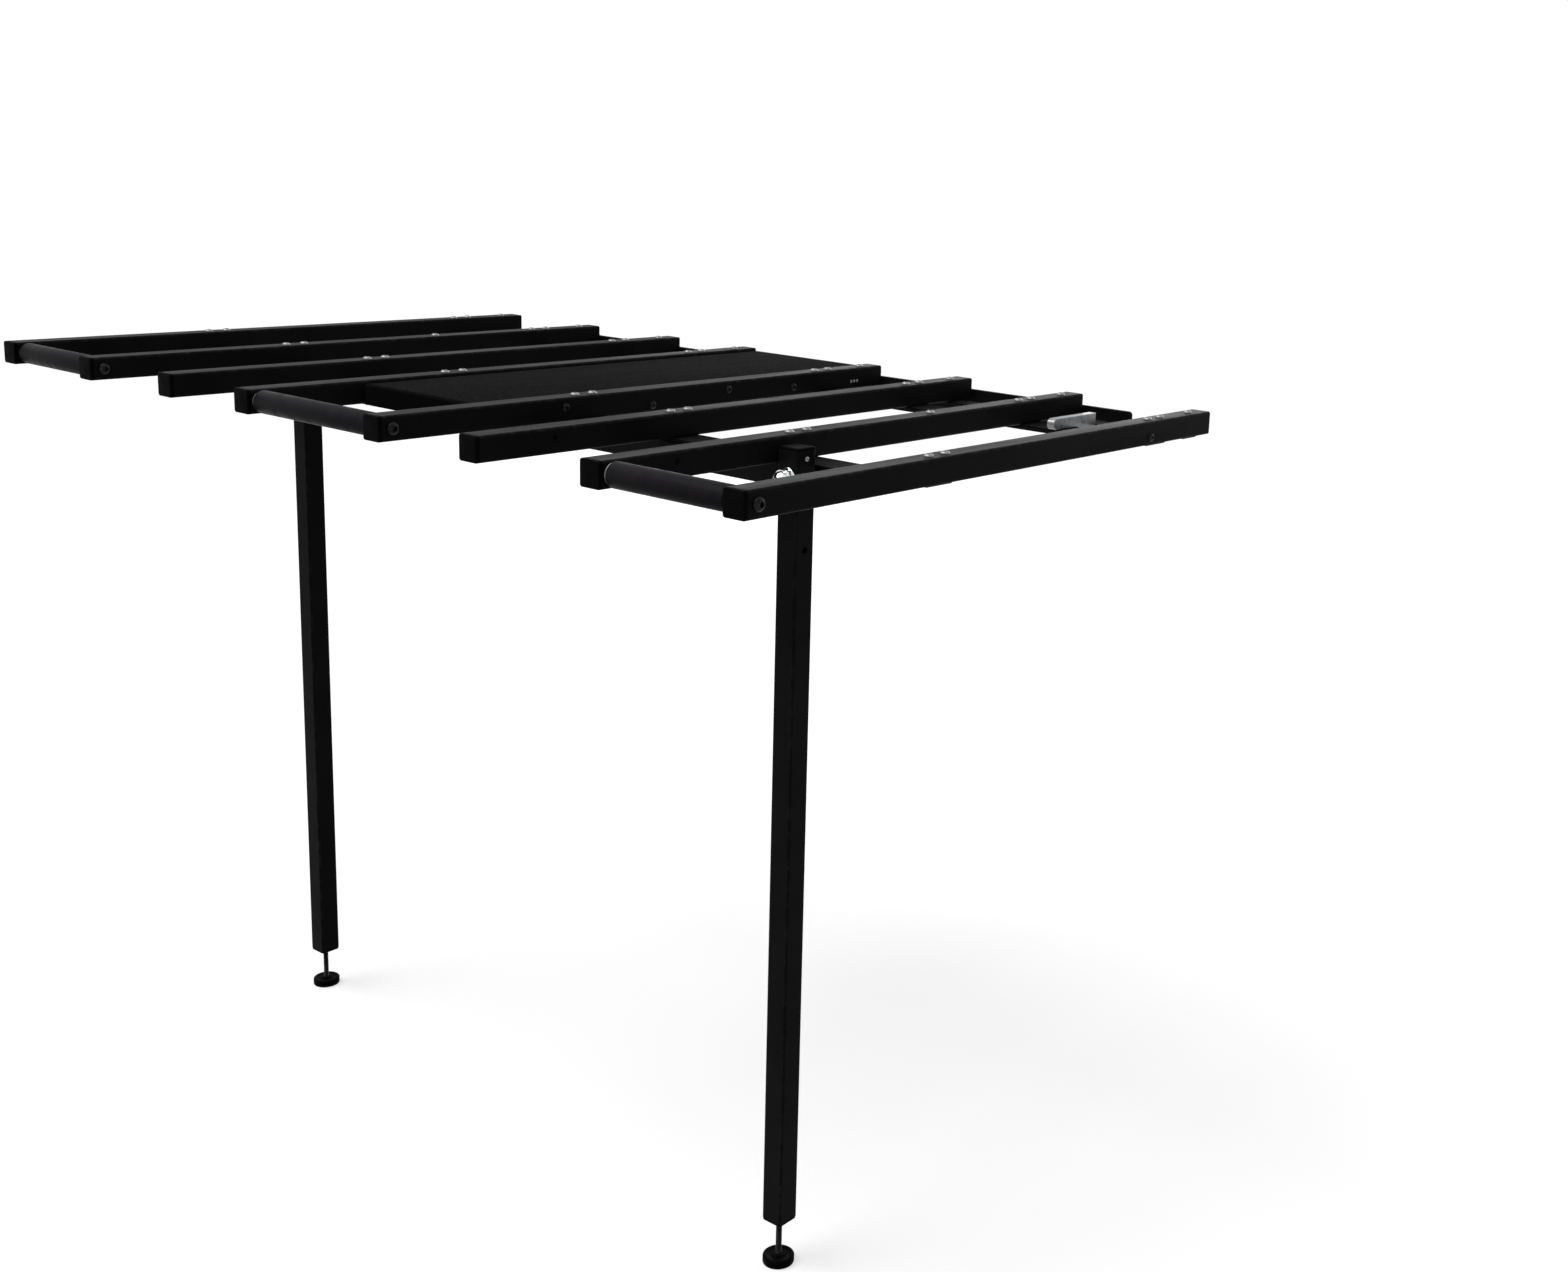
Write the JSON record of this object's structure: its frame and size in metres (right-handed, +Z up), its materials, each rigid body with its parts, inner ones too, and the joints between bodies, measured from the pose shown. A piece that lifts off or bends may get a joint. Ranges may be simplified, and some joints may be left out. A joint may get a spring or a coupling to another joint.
{
  "type": "folding outfeed table",
  "caption": "Folding outfeed support for a table saw: parallel black square-tube rails with end rollers, a middle sheet tray, hinged mount bar and swing legs on levelling feet.",
  "frame": {"origin": "centre of the mount bar's flat face that is bolted to the saw", "axes": "+X across the rails, +Y towards the saw, square to the mounting face, +Z up"},
  "size_m": [1.2175, 0.745, 0.87],
  "materials": {
    "black_coat": "semi-gloss powder coat",
    "tray_coat": "matte powder coat",
    "black_plastic": "matte moulded",
    "roller_sleeve": "satin",
    "grey_nylon": "satin moulded",
    "black_steel": "black oxide",
    "bright_steel": "zinc plated",
    "chrome": "polished"
  },
  "bodies": {
    "saw_mount": {"mount_bar": "black_coat", "hinge_bracket_left": "black_coat", "hinge_bracket_right": "black_coat", "hinge_pin_left": "bright_steel", "hinge_pin_right": "bright_steel"},
    "table_frame": {"rail_1": "black_coat", "front_cap_1": "black_plastic", "rail_2": "black_coat", "front_cap_2": "black_plastic", "rail_3": "black_coat", "front_cap_3": "black_plastic", "rail_4": "black_coat", "front_cap_4": "black_plastic", "rail_5": "black_coat", "front_cap_5": "black_plastic", "rail_6": "black_coat", "front_cap_6": "black_plastic", "rail_7": "black_coat", "front_cap_7": "black_plastic", "rail_8": "black_coat", "front_cap_8": "black_plastic", "front_strap": "black_coat", "rear_strap": "black_coat", "end_strap": "black_coat", "leg_beam": "black_coat", "leg_beam_cap_left": "black_plastic", "hinge_arm_left": "bright_steel", "leg_pivot_bolt_left": "black_steel", "leg_dome_nut_left": "chrome", "leg_beam_cap_right": "black_plastic", "hinge_arm_right": "bright_steel", "leg_pivot_bolt_right": "black_steel", "leg_dome_nut_right": "chrome", "tray_panel": "tray_coat", "roller_axle_left": "black_steel", "roller_nut_left": "black_steel", "roller_axle_middle": "black_steel", "roller_nut_middle": "black_steel", "roller_axle_right": "black_steel", "roller_nut_right": "black_steel"},
    "roller_left": {"roller_sleeve_left": "roller_sleeve", "roller_bush_left_a": "grey_nylon", "roller_bush_left_b": "grey_nylon"},
    "roller_middle": {"roller_sleeve_middle": "roller_sleeve", "roller_bush_middle_a": "grey_nylon", "roller_bush_middle_b": "grey_nylon"},
    "roller_right": {"roller_sleeve_right": "roller_sleeve", "roller_bush_right_a": "grey_nylon", "roller_bush_right_b": "grey_nylon"},
    "leg_swing_left": {"leg_left": "black_coat", "leg_top_cap_left": "black_plastic", "foot_plug_left": "black_plastic"},
    "leg_swing_right": {"leg_right": "black_coat", "leg_top_cap_right": "black_plastic", "foot_plug_right": "black_plastic"},
    "foot_left": {"foot_stem_left": "black_steel", "foot_pad_left": "black_plastic"},
    "foot_right": {"foot_stem_right": "black_steel", "foot_pad_right": "black_plastic"}
  },
  "joints": [
    {"name": "frame_fold", "type": "hinge", "parent": "saw_mount", "child": "table_frame", "pos_m": [0, -0.019, -0.008], "axis": [1, 0, 0], "range_deg": [0, 90]},
    {"name": "roller_spin_left", "type": "hinge", "parent": "table_frame", "child": "roller_left", "pos_m": [-0.50425, -0.7295, 0.0213], "axis": [1, 0, 0], "continuous": true},
    {"name": "roller_spin_middle", "type": "hinge", "parent": "table_frame", "child": "roller_middle", "pos_m": [0, -0.7295, 0.0213], "axis": [1, 0, 0], "continuous": true},
    {"name": "roller_spin_right", "type": "hinge", "parent": "table_frame", "child": "roller_right", "pos_m": [0.50425, -0.7295, 0.0213], "axis": [1, 0, 0], "continuous": true},
    {"name": "leg_fold_left", "type": "hinge", "parent": "table_frame", "child": "leg_swing_left", "pos_m": [-0.4476, -0.45115, -0.0042], "axis": [0, -1, 0], "range_deg": [0, 87]},
    {"name": "leg_fold_right", "type": "hinge", "parent": "table_frame", "child": "leg_swing_right", "pos_m": [0.4476, -0.51585, -0.0042], "axis": [0, 1, 0], "range_deg": [0, 87]},
    {"name": "foot_level_left", "type": "slide", "parent": "leg_swing_left", "child": "foot_left", "axis": [0, 0, 1], "range_m": [-0.01, 0.025]},
    {"name": "foot_level_right", "type": "slide", "parent": "leg_swing_right", "child": "foot_right", "axis": [0, 0, 1], "range_m": [-0.01, 0.025]}
  ]
}
